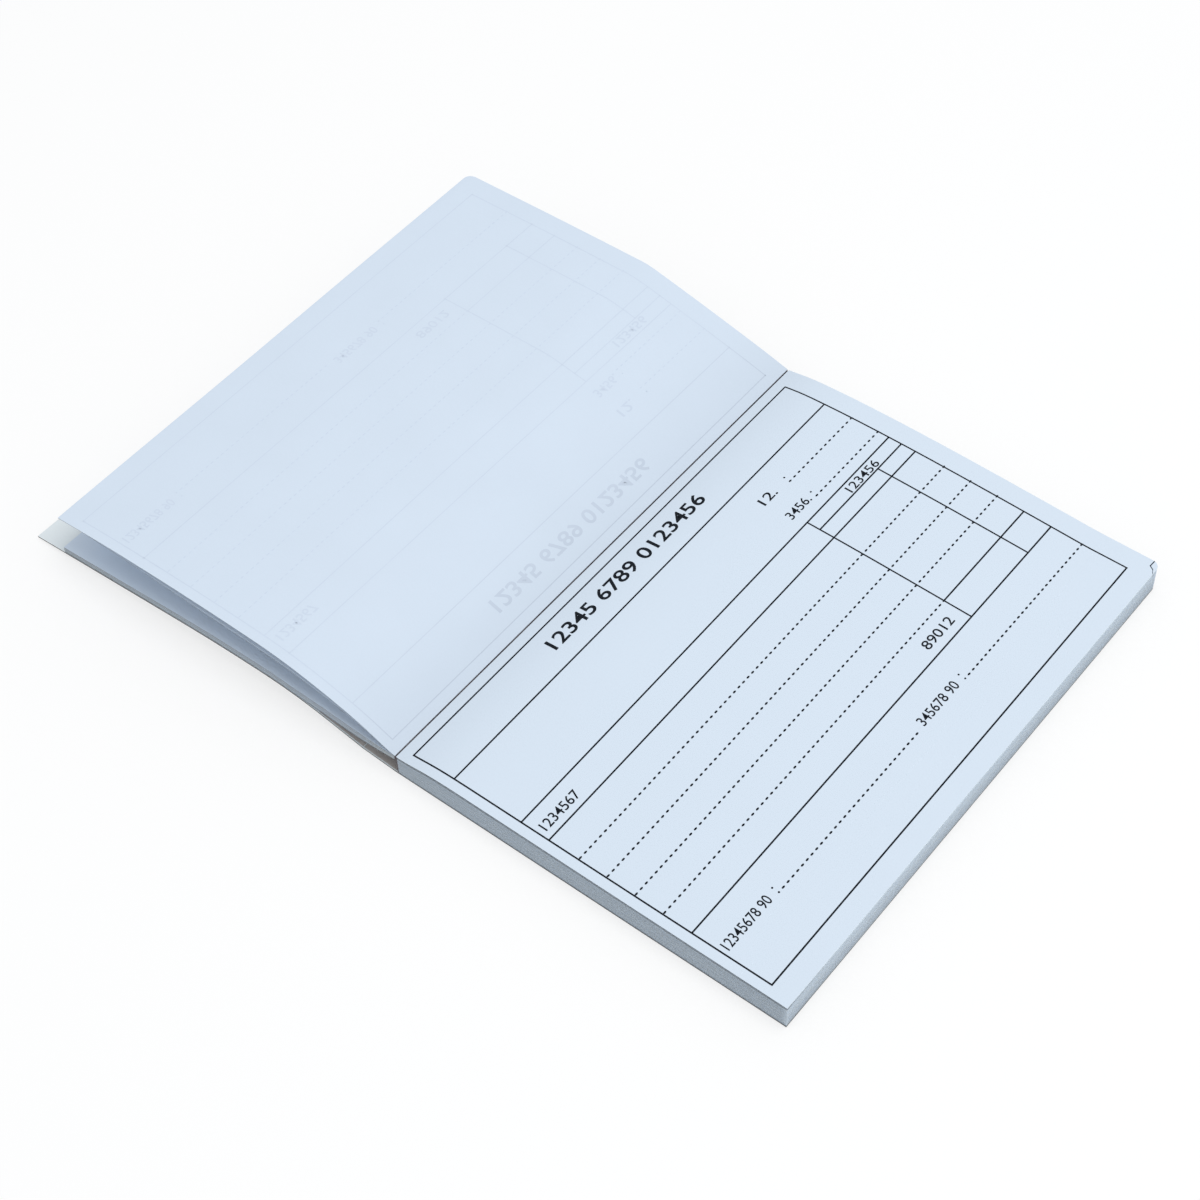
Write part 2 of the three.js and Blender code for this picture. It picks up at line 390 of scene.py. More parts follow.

# %% [markdown]
# ## Cut edges
#
# A guillotined stack shows as fine strata: each leaf's edge catches the light a little differently, and dust
# and shadow sit between leaves. Every leaf here is real geometry. Its edge also carries a number called
# "tone" that makes it lighter or darker, because a leaf is too thin for the picture to show its roughness.
# On some rims the tone also holds painted shade, and on others painted highlight, set further on. Handling
# has rounded the edges in two places, and painted highlight stands for the light on them: the foot side
# fades from the page's brightness at its top to grey at its bottom, and the near foot corner has a lighter
# band.

# %% The cut edge
highlight_gain = 0.8
highlight_fall = 6.0 * mm
foot_side_start = 0.4 * mm
foot_side_full = 0.1 * mm
corner_highlight = 0.5
corner_highlight_reach = 1.3 * mm
corner_highlight_full = 0.3 * mm


def painted_edge_highlight_group():
    """A factor over the block's cut sides: 1, and more where painted highlight lies on their rounded places.
    """
    group, _ = new_tree("painted edge highlight", "Shader", {}, {"Factor": "Float"})
    place = node_in(group, "ShaderNodeSeparateXYZ", {0: own_place(group)}).outputs
    low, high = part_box("voucher_1")
    at_foot = ramp(group, place["X"], high.x - foot_side_start, high.x - foot_side_full)
    block_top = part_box("block_glue_film")[1].z
    high_up = ramp(group, place["Z"], block_top - highlight_fall, block_top)
    foot_side = math_node(group, "MULTIPLY", at_foot, high_up)
    flat = node_value(group, "ShaderNodeCombineXYZ", {"X": place["X"], "Y": place["Y"]})
    spread = {0: flat, 1: (high.x, low.y, 0)}
    away = node_in(group, "ShaderNodeVectorMath", spread, operation="DISTANCE").outputs["Value"]
    near = ramp(group, away, corner_highlight_reach, corner_highlight_full)
    highlight = math_node(group, "MAXIMUM", foot_side, math_node(group, "MULTIPLY", near, corner_highlight))
    gained = math_node(group, "MULTIPLY", highlight, highlight_gain)
    node_in(group, "NodeGroupOutput", {"Factor": math_node(group, "ADD", gained, 1.0)})
    return group


def cut_edge_material():
    material = paper_material(
        "cut_edges", srgb(178, 186, 191), cloud=0.05, fibre=0.06, roughness=0.85, bump=0.3
    )
    tree = material.node_tree
    tone = node_in(tree, "ShaderNodeAttribute", attribute_name="tone").outputs["Fac"]
    highlight = node_in(tree, "ShaderNodeGroup", node_tree=painted_edge_highlight_group()).outputs["Factor"]
    # The edge colour is the tone, with its random and painted parts, times the painted highlight.
    factor = math_node(tree, "MULTIPLY", tone, highlight)
    colour = scaled(tree, tree.nodes["grain"].outputs["Color"], factor)
    fill(tree, tree.nodes["Principled BSDF"].inputs["Base Color"], colour)
    return material


cut_edges = cut_edge_material()
print("edges:", cut_edges.name)

# %% [markdown]
# ## Ink and glue
#
# Offset ink is nearly black and a little uneven. The print also shows faintly through the thin paper of a
# turned leaf, most of all near the gutter. That ink has the paper's own colour with a patchy, slightly
# darker tone, and towards the gutter it carries the paper's painted gutter shade and a little stronger
# print.
# Padding glue dries to a dull skin with a warm tint, here darkened further with painted shade for the narrow
# gutter it lies in.

# %% Ink and glue
gutter_shade_and_stronger_print = 0.20


def two_tone_material(name, light, dark, scale, roughness, sheen=0.1):
    """A finish that drifts between two colours, for ink and glue. A low sheen keeps dark ink dark."""
    material, tree, finish = plain_material(name, roughness, sheen)
    drift = noise(tree, scale, detail=3, seed=0.6)
    # The colours of a mix node are its inputs 6 and 7, and the mixed colour is its output 2.
    mix = node_in(tree, "ShaderNodeMix", {0: drift, 6: light, 7: dark}, data_type="RGBA")
    fill(tree, finish["Base Color"], mix.outputs[2])
    return material


ink = two_tone_material("printing_ink", srgb(20, 28, 38), srgb(6, 10, 16), scale=1500, roughness=0.6)
ink_through = two_tone_material(
    "ink_through_paper", srgb(212, 223, 238), srgb(201, 213, 229), scale=120, roughness=0.75
)
# The show-through gets the paper's painted gutter shade, and a little more for stronger print by the gutter.
shade_at_gutter(ink_through, gutter_shade_and_stronger_print)
# A darker, warmer skin for the cover's inner face near the head.
darker_skin = two_tone_material(
    "darker_inner_skin", srgb(205, 199, 194), srgb(166, 158, 153), scale=300, roughness=0.6
)
slit_shadow = two_tone_material("slit_shadow", srgb(40, 52, 62), srgb(22, 30, 38), scale=900, roughness=0.9)
# The glue's colour is its own warm tint, darkened with painted shade for the narrow gutter it lies in.
dried_glue = two_tone_material(
    "padding_glue", srgb(108, 100, 106), srgb(66, 56, 62), scale=700, roughness=0.4, sheen=0.4
)
print("inks and glue:", ink.name, ink_through.name, dried_glue.name)

# %% [markdown]
# ## Sheets
#
# Every leaf and every cover panel is a thin sheet that bends in one direction. Its solid in the frame is
# lofted between a left and a right side line, with few cross-sections. Here the same two lines are read off
# the solid, smoothed, and lofted again with many, so that light runs over the paper without facets.

# %% Read a sheet's side lines
corner_radius = 2.0 * mm
corner_share = 1 / 8
same_place_digits = 7
left_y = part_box("voucher_1")[0].y
right_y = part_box("voucher_1")[1].y
width = right_y - left_y
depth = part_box("back_cover")[1].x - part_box("voucher_1")[0].x
gutter_x = (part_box("block_glue_film")[0].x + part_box("used_glue_film")[1].x) / 2
gutter_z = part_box("voucher_1")[0].z


def mixed(first, second, share):
    return first * (1 - share) + second * share


def side_line(node, on_left):
    """Places (x, z, thickness) from head to foot along one side of a sheet's solid."""
    middle_y = (left_y + right_y) / 2
    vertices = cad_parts[node].data.vertices
    corners = {tuple(round(c, same_place_digits) for c in vertex.co) for vertex in vertices}
    side = sorted((p for p in corners if (p[1] < middle_y) == on_left), key=lambda p: abs(p[0] - gutter_x))
    line = []
    for first, second in zip(side[0::2], side[1::2]):
        gap = math.hypot(second[0] - first[0], second[2] - first[2])
        line.append(((first[0] + second[0]) / 2, (first[2] + second[2]) / 2, gap))
    return np.array(line)


def stations(length, count, rounded):
    """Distances from the head: evenly spaced ones, and the last of them round the foot's corner."""
    arc_count = int(count * corner_share) if rounded else 0
    even = np.linspace(0, length - rounded, count - arc_count)
    arc = length - rounded + rounded * np.sin(np.linspace(0, math.pi / 2, arc_count + 1)[1:])
    return np.concatenate([even, arc])


def smooth_line(line, count, rounded):
    """The same line with many points, closer at the rounded corner, on a curve through the given ones."""
    steps = np.hypot(np.diff(line[:, 0]), np.diff(line[:, 1]))
    along = np.concatenate([[0], np.cumsum(steps)])
    slopes = np.gradient(line, along, axis=0)
    wanted = stations(along[-1], count, rounded)
    i = np.clip(np.searchsorted(along, wanted) - 1, 0, len(along) - 2)
    span = (along[i + 1] - along[i])[:, None]
    t = ((wanted - along[i]) / span[:, 0])[:, None]
    start = (2 * t**3 - 3 * t**2 + 1) * line[i] + (t**3 - 2 * t**2 + t) * span * slopes[i]
    end = (3 * t**2 - 2 * t**3) * line[i + 1] + (t**3 - t**2) * span * slopes[i + 1]
    return start + end


print("voucher, mm:", round(width / mm, 2), "by", round(depth / mm, 2))

# %% [markdown]
# A sheet is kept as a grid of points on its middle surface, from head to foot and from the form's left to
# its right. From the grid come its thin closed mesh and, later, the place of every printed line.

# %% Build sheets
lengthwise = 90
crosswise = 36
rim_angle = math.radians(40)


def sheet_between(left, right, share):
    """A grid between two side lines, for each row's shares of the way across."""
    x = mixed(left[:, None, 0], right[:, None, 0], share)
    z = mixed(left[:, None, 1], right[:, None, 1], share)
    return np.stack([x, left_y + width * share, z], axis=2)


def sheet_grid(node, rows=lengthwise, columns=crosswise):
    """The middle surface of a sheet's solid, as an array [row, column, xyz], and the sheet's thickness."""
    rounded = 0 if node == "spine_strip" else corner_radius
    left = smooth_line(side_line(node, True), rows, rounded)
    right = smooth_line(side_line(node, False), rows, rounded)
    along = stations(depth, rows, rounded)
    into = np.clip(along - (depth - rounded), 0, rounded)
    inset = rounded - np.sqrt(rounded**2 - into**2)
    share = np.linspace(0, 1, columns)[None, :] * ((width - inset) / width)[:, None]
    return sheet_between(left, right, share), float(np.median(left[:, 2]))


def grid_normals(grid):
    """Unit normals of a grid, all pointing up."""
    normal = np.cross(np.gradient(grid, axis=0), np.gradient(grid, axis=1))
    normal /= np.linalg.norm(normal, axis=2)[:, :, None]
    return normal if normal[:, :, 2].mean() > 0 else -normal


def grid_quads(rows, columns):
    """The faces of a grid of points that is kept row by row."""
    i, j = np.meshgrid(np.arange(rows - 1), np.arange(columns - 1), indexing="ij")
    first = (i * columns + j).ravel()
    return np.stack([first, first + columns, first + columns + 1, first + 1], axis=1)


def closed_skin(over, under):
    """Points and faces of two grids closed round their border: first grid, second grid, then the rim."""
    rows, columns = over.shape[:2]
    count = rows * columns
    top = grid_quads(rows, columns)
    head = np.arange(columns)
    right = np.arange(1, rows) * columns + columns - 1
    foot = (rows - 1) * columns + np.arange(columns - 2, -1, -1)
    left = np.arange(rows - 2, -1, -1) * columns
    border = np.concatenate([head, right, foot, left])
    rim = np.stack([border[:-1], border[1:], border[1:] + count, border[:-1] + count], axis=1)
    points = np.concatenate([over.reshape(-1, 3), under.reshape(-1, 3)])
    return points, np.concatenate([top, top[:, ::-1] + count, rim])


def sheet_piece(name, grid, thickness, face_material, rim_material, tone=1.0, near_tone=None):
    """A closed sheet, smooth over its faces and flat round its rim. Its near side can have its own tone."""
    rows, columns = grid.shape[:2]
    half = grid_normals(grid) * thickness / 2
    points, faces = closed_skin(grid + half, grid - half)
    if grid[-1, 0, 0] < grid[0, 0, 0]:
        faces = faces[:, ::-1]
    piece = add_mesh(name, points, faces, [face_material, rim_material])
    mesh = piece.data
    on_rim = np.arange(len(faces)) >= 2 * (rows - 1) * (columns - 1)
    mesh.polygons.foreach_set("material_index", on_rim.astype(np.int32))
    mesh.polygons.foreach_set("use_smooth", ~on_rim)
    values = np.full(len(points), tone, dtype=np.float32)
    if near_tone is not None:
        values[::columns] = near_tone
    mesh.attributes.new("tone", "FLOAT", "POINT").data.foreach_set("value", values)
    mesh.set_sharp_from_angle(angle=rim_angle)
    return piece


def stands_for(piece, node, body):
    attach(piece, body)
    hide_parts(node)


print("points per sheet:", lengthwise * crosswise)

# %% [markdown]
# ## How the leaves lie
#
# Two things set these sheets apart from a flat stack. At the gutter their left end dips, where the glue has
# shrunk, and the dip fades along the head and down the page. A loose sheet also has a slow, faint wave,
# which keeps it from looking like plastic.

# %% Dip and wave
dip_depth = 1.2 * mm
dip_reach = 8 * mm
wave_height = 0.06 * mm
wave_length = 18 * mm
wave_skew = 3.1
wave_across = 7.3


def spread_of(grid):
    """How far each point of a grid is from the head, and its share of the way across."""
    along = stations(depth, grid.shape[0], corner_radius)[:, None]
    return along, (grid[:, :, 1] - left_y) / width


def dipped(grid, share_of_dip=None):
    """The grid with the dip at its head's left end. If no share is given, a low sheet dips less."""
    along, share = spread_of(grid)
    height = np.clip(grid[0, 0, 2] / gutter_z, 0, 1) if share_of_dip is None else share_of_dip
    lain = grid.copy()
    lain[:, :, 2] -= dip_depth * height * np.exp(-((along / dip_reach) ** 2)) * (1 - share)
    return lain


def waved(grid, height, phase):
    """The grid with a slow wave that starts at the glue."""
    along, share = spread_of(grid)
    lain = grid.copy()
    wave = np.sin(along / wave_length + wave_skew * share + phase) * np.sin(wave_across * share + phase)
    lain[:, :, 2] += height * wave * np.minimum(along / dip_reach, 1)
    return lain


def reached(grid, distance):
    """The grid with its head brought nearer the gutter's middle, so that the page covers the glue."""
    lain = grid.copy()
    toward = -1 if grid[-1, 0, 0] > grid[0, 0, 0] else 1
    lain[0, :, 0] += toward * distance
    return lain


print("dip at the gutter, mm:", dip_depth / mm)

# %% [markdown]
# ## The fresh vouchers
#
# The top slip is the face of the whole picture. It follows the puffed block: its right-hand side rises by
# two millimetres. The next two slips are the same sheet a leaf lower, and each can be turned on its own.
# The slips' rims have a painted highlight, most on the top slip's near side, where the rims below it have
# painted shadow.

# %% The fresh vouchers
head_reach = 0.22 * mm
page_overhang = 0.03 * mm
fresh_phase = 0.6
# Tones for the slips' rims: painted highlight, and on the near side of the two lower slips painted shadow.
rim_highlight_tone = 1.2
near_rim_highlight_and_shadow = {"voucher_1": 1.3, "voucher_2": 0.15, "voucher_3": 0.15}

fresh_bodies = {"voucher_1": "first_leaf", "voucher_2": "second_leaf", "voucher_3": "third_leaf"}
fresh_sheets = {}
for node, body in fresh_bodies.items():
    grid, thickness = sheet_grid(node)
    grid = waved(dipped(grid), wave_height if node == "voucher_1" else 0, fresh_phase)
    grid = reached(grid, head_reach)
    if node == "voucher_1":
        grid[:, 0, 1] -= page_overhang
    fresh_sheets[body] = (grid, thickness)
    name = node.replace("voucher", "fresh_slip")
    piece = sheet_piece(name, grid, thickness, page_paper, cut_edges, rim_highlight_tone, near_rim_highlight_and_shadow[node])
    stands_for(piece, node, body)
print("fresh slips:", len(fresh_sheets))

# %% [markdown]
# ## The block's leaves
#
# The block is seventy-odd more slips. Modelling each by hand would be tedious and storing them all at full
# detail wasteful. A small Geometry Nodes tree does it: it takes one coarse leaf surface, repeats it up the
# stack, shifts each copy by a few hundredths of a millimetre as a guillotined stack is shifted, and
# gives each a thickness and an edge tone of its own.

# %% The leaf stack tree
weld_distance = 0.001 * mm

geometry_socket = {"Geometry": "Geometry"}
leaf_stack_inputs = {
    **geometry_socket,
    "Leaves": "Int",
    "Leaf Thickness": "Float",
    "Shift": "Float",
    "Lightest": "Float",
    "Darkest": "Float",
    "Seed": "Int",
    "Face": "Material",
    "Edge": "Material",
}


def named_value(tree, name, data_type):
    return node_value(tree, "GeometryNodeInputNamedAttribute", {"Name": name}, data_type=data_type)


def with_value(tree, shape, name, value, data_type, domain):
    """The shape with a named value on each of its points or copies."""
    inputs = {"Geometry": shape, "Name": name, "Value": value}
    kind = "GeometryNodeStoreNamedAttribute"
    return node_value(tree, kind, inputs, data_type=data_type, domain=domain)


def with_material(tree, shape, material, selection=True):
    inputs = {"Geometry": shape, "Selection": selection, "Material": material}
    return node_value(tree, "GeometryNodeSetMaterial", inputs)


def copies_at(tree, points, instance, **more):
    """A copy of a shape at every point, not yet made real."""
    inputs = {"Points": points, "Instance": instance, **more}
    return node_value(tree, "GeometryNodeInstanceOnPoints", inputs)


def made_real(tree, copies):
    return node_value(tree, "GeometryNodeRealizeInstances", {"Geometry": copies})


def shifted_leaves(tree, enter, level):
    """The leaf surface once for each level, every copy at its own height and a little off its place."""
    spots = node_value(tree, "GeometryNodeMeshLine", {"Count": enter["Leaves"], "Offset": (0, 0, 0)})
    number = node_value(tree, "GeometryNodeInputIndex")
    copies = copies_at(tree, spots, enter["Geometry"])
    leaves = made_real(tree, with_value(tree, copies, "level", number, "INT", "INSTANCE"))
    middle = math_node(tree, "DIVIDE", math_node(tree, "ADD", level, 0.5), enter["Leaves"])
    height = math_node(tree, "MULTIPLY", middle, named_value(tree, "rise", "FLOAT"))
    lift = node_value(tree, "ShaderNodeCombineXYZ", {"Z": height})
    most = node_value(tree, "ShaderNodeCombineXYZ", {"X": enter["Shift"], "Y": enter["Shift"]})
    range_of_drift = {"Min": scaled(tree, most, -1.0), "Max": most, "ID": level, "Seed": enter["Seed"]}
    drift = node_value(tree, "FunctionNodeRandomValue", range_of_drift, data_type="FLOAT_VECTOR")
    offset = node_value(tree, "ShaderNodeVectorMath", {0: lift, 1: drift}, operation="ADD")
    return node_value(tree, "GeometryNodeSetPosition", {"Geometry": leaves, "Offset": offset})


def leaf_stack_tree():
    tree, enter = new_tree("leaf stack", "Geometry", leaf_stack_inputs, geometry_socket)
    level = named_value(tree, "level", "INT")
    placed = shifted_leaves(tree, enter, level)
    up = {"Mesh": placed, "Offset Scale": enter["Leaf Thickness"], "Individual": False}
    thick = node_in(tree, "GeometryNodeExtrudeMesh", up).outputs
    paper = with_material(tree, thick["Mesh"], enter["Face"])
    edged = with_material(tree, paper, enter["Edge"], thick["Side"])
    under = node_value(tree, "GeometryNodeFlipFaces", {"Mesh": placed})
    lower = with_material(tree, under, enter["Face"])
    joined = node_in(tree, "GeometryNodeJoinGeometry", {0: edged})
    tree.links.new(lower, joined.inputs[0])
    weld = {"Geometry": joined.outputs[0], "Distance": weld_distance}
    closed = node_value(tree, "GeometryNodeMergeByDistance", weld)
    # The number sockets of a random value are its inputs 2 and 3, and its output 1.
    shades = {2: enter["Darkest"], 3: enter["Lightest"], "ID": level, "Seed": enter["Seed"]}
    shade = node_in(tree, "FunctionNodeRandomValue", shades, data_type="FLOAT").outputs[1]
    node_in(tree, "NodeGroupOutput", {0: with_value(tree, closed, "tone", shade, "FLOAT", "POINT")})
    return tree


leaf_stack = leaf_stack_tree()
print("leaf stack nodes:", len(leaf_stack.nodes))

# %% [markdown]
# The tree is put on a coarse surface as a modifier, evaluated once, and its result kept as a plain mesh.
# The surface carries an attribute called "rise": how thick the stack is there, since a puffed block is
# thicker at its right-hand side than at its left. The lowest and topmost edges of the near side are darker,
# with painted shade: under the top slips' rims and along the table.

# %% Stack the leaves
leaves_per_sheaf = 3
block_rows = 30
block_columns = 9
leaf_fullness = 0.86
leaf_shift = 0.05 * mm
lightest_leaf = 1.08
darkest_leaf = 0.80
near_edge_depth = 0.3 * mm
near_shadows = {0: 0.35, 1: 0.7, -2: 0.4, -1: 0.12}


def run_tree(name, mesh, tree, values):
    """The mesh after a Geometry Nodes tree, as a plain object."""
    source = add_object(name + "_source", mesh)
    modifier = source.modifiers.new("tree", "NODES")
    modifier.node_group = tree
    inputs = [item for item in tree.interface.items_tree if item.in_out == "INPUT"]
    sockets = {item.name: item.identifier for item in inputs}
    for key, value in values.items():
        modifier[sockets[key]] = value
    graph = bpy.context.evaluated_depsgraph_get()
    result = bpy.data.meshes.new_from_object(source.evaluated_get(graph))
    source.modifiers.remove(modifier)
    bpy.data.objects.remove(source)
    result.name = name
    return add_object(name, result)


def leaf_surface(name, grid, rise):
    """A one-sided grid mesh with the stack's rise at each point."""
    faces = grid_quads(*grid.shape[:2])
    mesh = bpy.data.meshes.new(name)
    mesh.from_pydata(grid.reshape(-1, 3).tolist(), [], faces.tolist())
    attribute = mesh.attributes.new("rise", "FLOAT", "POINT")
    attribute.data.foreach_set("value", rise.ravel().astype(np.float32))
    return mesh


def sheaf_of_leaves(node, seed):
    """A sheaf's solid as separate leaves."""
    middle, _ = sheet_grid(node, block_rows, block_columns)
    left = smooth_line(side_line(node, True), block_rows, corner_radius)[:, 2]
    right = smooth_line(side_line(node, False), block_rows, corner_radius)[:, 2]
    _, share = spread_of(middle)
    rise = mixed(left[:, None], right[:, None], share)
    bottom, top = middle.copy(), middle.copy()
    bottom[:, :, 2] -= rise / 2
    top[:, :, 2] += rise / 2
    bottom, top = dipped(bottom), dipped(top)
    rise = top[:, :, 2] - bottom[:, :, 2]
    leaf_thickness = float(np.median(left)) / leaves_per_sheaf * leaf_fullness
    bottom[:, :, 2] -= leaf_thickness / 2
    name = node.replace("voucher_sheaf", "block_leaves")
    values = {
        "Leaves": leaves_per_sheaf,
        "Leaf Thickness": leaf_thickness,
        "Shift": leaf_shift,
        "Lightest": lightest_leaf,
        "Darkest": darkest_leaf,
        "Seed": seed,
        "Face": page_paper,
        "Edge": cut_edges,
    }
    piece = run_tree(name, leaf_surface(name, bottom, rise), leaf_stack, values)
    stands_for(piece, node, "block")
    return piece


def darken_near_side(piece, factor):
    """Lowers the tone of a sheaf's near edge, as painted shade."""
    mesh = piece.data
    tones = np.empty(len(mesh.vertices), dtype=np.float32)
    mesh.attributes["tone"].data.foreach_get("value", tones)
    places = np.empty(3 * len(mesh.vertices), dtype=np.float32)
    mesh.vertices.foreach_get("co", places)
    tones[places[1::3] < left_y + near_edge_depth] *= factor
    mesh.attributes["tone"].data.foreach_set("value", tones)


sheaf_nodes = sorted(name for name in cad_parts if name.startswith("voucher_sheaf"))
sheaf_pieces = [sheaf_of_leaves(node, seed) for seed, node in enumerate(sheaf_nodes)]
for place, factor in near_shadows.items():
    darken_near_side(sheaf_pieces[place], factor)
print("sheaves:", len(sheaf_nodes), "faces in one:", len(sheaf_pieces[0].data.polygons))

# %% [markdown]
# ## The turned leaves
#
# The used slips lie blank side up. The last one stands well off the rest, so its underside and edge show.
# The bundle below is eighteen leaves on the cover, each its own sheet with its own edge tone. Its top dips
# at the gutter nearly as much as the loose leaves, and its bottom not at all.

# %% The turned leaves
random.seed(11)
used_tones = [0.45, 0.60, 0.80, 0.95, 1.05]
# The three lowest used leaves have darker edges, painted shade in the gap under the bundle.
lowest_used_shade_tones = [0.25, 0.35, 0.5]
used_dip = 0.9
# The last turned leaf's rim has a painted highlight, and the second one's rim painted shadow below it.
turned_rim_highlight_and_shadow = {"last_turned_voucher": 1.4, "second_turned_voucher": 0.35}
turned_wave_height = 2 * wave_height
turned_phase = 1.4
turned_bodies = {"last_turned_voucher": "last_turned_leaf", "second_turned_voucher": "second_turned_leaf"}
turned_sheets = {}
for node, body in turned_bodies.items():
    grid, thickness = sheet_grid(node)
    grid = reached(waved(dipped(grid), turned_wave_height, turned_phase), head_reach)
    turned_sheets[body] = (grid, thickness)
    name = node.replace("voucher", "slip")
    piece = sheet_piece(name, grid, thickness, turned_paper, cut_edges, turned_rim_highlight_and_shadow[node])
    stands_for(piece, node, body)

used_nodes = sorted(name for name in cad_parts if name.startswith("used_voucher"))
for order, node in enumerate(used_nodes):
    grid, thickness = sheet_grid(node)
    grid = dipped(grid, used_dip * order / len(used_nodes))
    tone = lowest_used_shade_tones[order] if order < len(lowest_used_shade_tones) else random.choice(used_tones)
    piece = sheet_piece(node.replace("voucher", "slip"), grid, thickness, turned_paper, cut_edges, tone)
    stands_for(piece, node, "used_bundle")
print("turned leaves:", len(used_nodes) + len(turned_sheets))

# %% [markdown]
# ## Places on a printed sheet
#
# Print sits on the sheet, so every mark is placed by its distance down from the head and across from the
# left, and then dropped on the sheet's own grid. The same form can so be printed on a fresh slip, and on
# the hidden face of a turned one.

# %% Places on a sheet
ink_lift = 0.012 * mm
grid_end = 1.001


def places_on(sheet, down, across, side, lift=ink_lift):
    """Points on a sheet's face. Side is 1 for its upper face and -1 for its lower."""
    grid, thickness = sheet
    rows, columns = grid.shape[:2]
    known = stations(depth, rows, corner_radius)
    row = np.clip(np.interp(np.asarray(down, float), known, np.arange(rows)), 0, rows - grid_end)
    column = np.clip(np.asarray(across, float) / width * (columns - 1), 0, columns - grid_end)
    i, j = row.astype(int), column.astype(int)
    u, v = (row - i)[:, None], (column - j)[:, None]
    surface = grid + grid_normals(grid) * side * (thickness / 2 + lift)
    near = mixed(surface[i, j], surface[i + 1, j], u)
    far = mixed(surface[i, j + 1], surface[i + 1, j + 1], u)
    return mixed(near, far, v)


def face_outward(points, faces, side):
    """The faces, each turned so that it looks away from the sheet."""
    turned = []
    for face in faces:
        a, b, c = (points[k] for k in face[:3])
        upward = np.cross(b - a, c - a)[2] * side > 0
        turned.append(list(face) if upward else list(face)[::-1])
    return turned


print("ink lift, mm:", ink_lift / mm)

# %% [markdown]
# ## The form
#
# The form is a frame with a title band, two dotted lines for a number and a date, a table with a wide and a
# two-part narrow column, and a row for signatures. Distances are down from the head, or across from the
# left side, as measured on the picture. A rule is a ribbon that follows the sheet, cut at each grid line.

# %% Rules of the form
rule_weight = 0.41 * mm

frame_head = 2.72 * mm
title_foot = 14.46 * mm
table_head = 33.31 * mm
amount_foot = 36.95 * mm
heading_foot = 40.94 * mm
row_pitch = 7.48 * mm
table_foot = 78.96 * mm
frame_foot = 99.32 * mm
frame_left = 2.57 * mm
frame_right = 142.32 * mm
amount_left = 108.35 * mm
cents_left = 132.30 * mm
number_line = 22.5 * mm
date_line = 30.2 * mm
sign_line = 87.4 * mm

rules_across = [
    (frame_head, frame_left, frame_right),
    (title_foot, frame_left, frame_right),
    (table_head, frame_left, frame_right),
    (amount_foot, amount_left, frame_right),
    (heading_foot, frame_left, frame_right),
    (table_foot - row_pitch, amount_left, frame_right),
    (table_foot, frame_left, frame_right),
    (frame_foot, frame_left, frame_right),
]
rules_down = [
    (frame_left, frame_head, frame_foot),
    (frame_right, frame_head, frame_foot),
    (amount_left, table_head, table_foot),
    (cents_left, amount_foot, table_foot),
]


def ribbon(sheet, start, end, fixed, goes_down, side, weight):
    """Points and faces of one rule, from start to end, at a fixed distance the other way."""
    columns = np.linspace(0, width, crosswise)
    grid_lines = stations(depth, lengthwise, corner_radius) if goes_down else columns
    inner = grid_lines[(grid_lines > start) & (grid_lines < end)]
    along = np.concatenate([[start - weight / 2], inner, [end + weight / 2]])
    strips = []
    for edge in (-weight / 2, weight / 2):
        other = np.full(len(along), fixed + edge)
        down, across = (along, other) if goes_down else (other, along)
        strips.append(places_on(sheet, down, across, side))
    count = len(along)
    faces = [(k, k + 1, count + k + 1, count + k) for k in range(count - 1)]
    return np.concatenate(strips), faces


def form_rules(sheet, side, weight):
    """Points and faces of every rule, each rule by itself."""
    ribbons = [ribbon(sheet, a, b, at, False, side, weight) for at, a, b in rules_across]
    return ribbons + [ribbon(sheet, a, b, at, True, side, weight) for at, a, b in rules_down]


print("rules:", len(rules_across) + len(rules_down))

# %% [markdown]
# ## Marks
#
# The marks on the form are rows of plain figures, each row with a size and weight of its own.
# They are typeset with Blender's own letterforms, made a mesh, stretched to the measured box and dropped
# on the sheet. It curves near the gutter, so each figure is first sliced into low strips that can follow.

# %% Marks of the form
title_boldness = 0.015
label_boldness = 0.008
figure_slices = 10
figure_fineness = 5

marks = [
    ("12345 6789 0123456", 6.05 * mm, 9.95 * mm, 43.7 * mm, 100.6 * mm, title_boldness),
    ("12.", 19.9 * mm, number_line, 106.7 * mm, 112.0 * mm, label_boldness),
    ("3456.", 27.7 * mm, date_line, 106.9 * mm, 115.0 * mm, label_boldness),
    ("123456", 34.1 * mm, 36.5 * mm, 122.3 * mm, 134.1 * mm, label_boldness),
    ("1234567", 36.6 * mm, 39.2 * mm, 4.1 * mm, 16.0 * mm, label_boldness),
    ("89012", 74.2 * mm, 76.8 * mm, 94.3 * mm, 105.1 * mm, label_boldness),
    ("12345678 90", 85.1 * mm, 87.7 * mm, 3.8 * mm, 19.3 * mm, label_boldness),
    ("345678 90", 85.1 * mm, 87.7 * mm, 76.1 * mm, 90.4 * mm, label_boldness),
]


def typeset(text, boldness):
    """A flat mesh of a line of figures, in font units."""
    data = bpy.data.curves.new("figures", "FONT")
    data.body = text
    data.offset = boldness
    data.resolution_u = figure_fineness
    holder = add_object("figures", data)
    graph = bpy.context.evaluated_depsgraph_get()
    mesh = bpy.data.meshes.new_from_object(holder.evaluated_get(graph))
    bpy.data.objects.remove(holder)
    return mesh


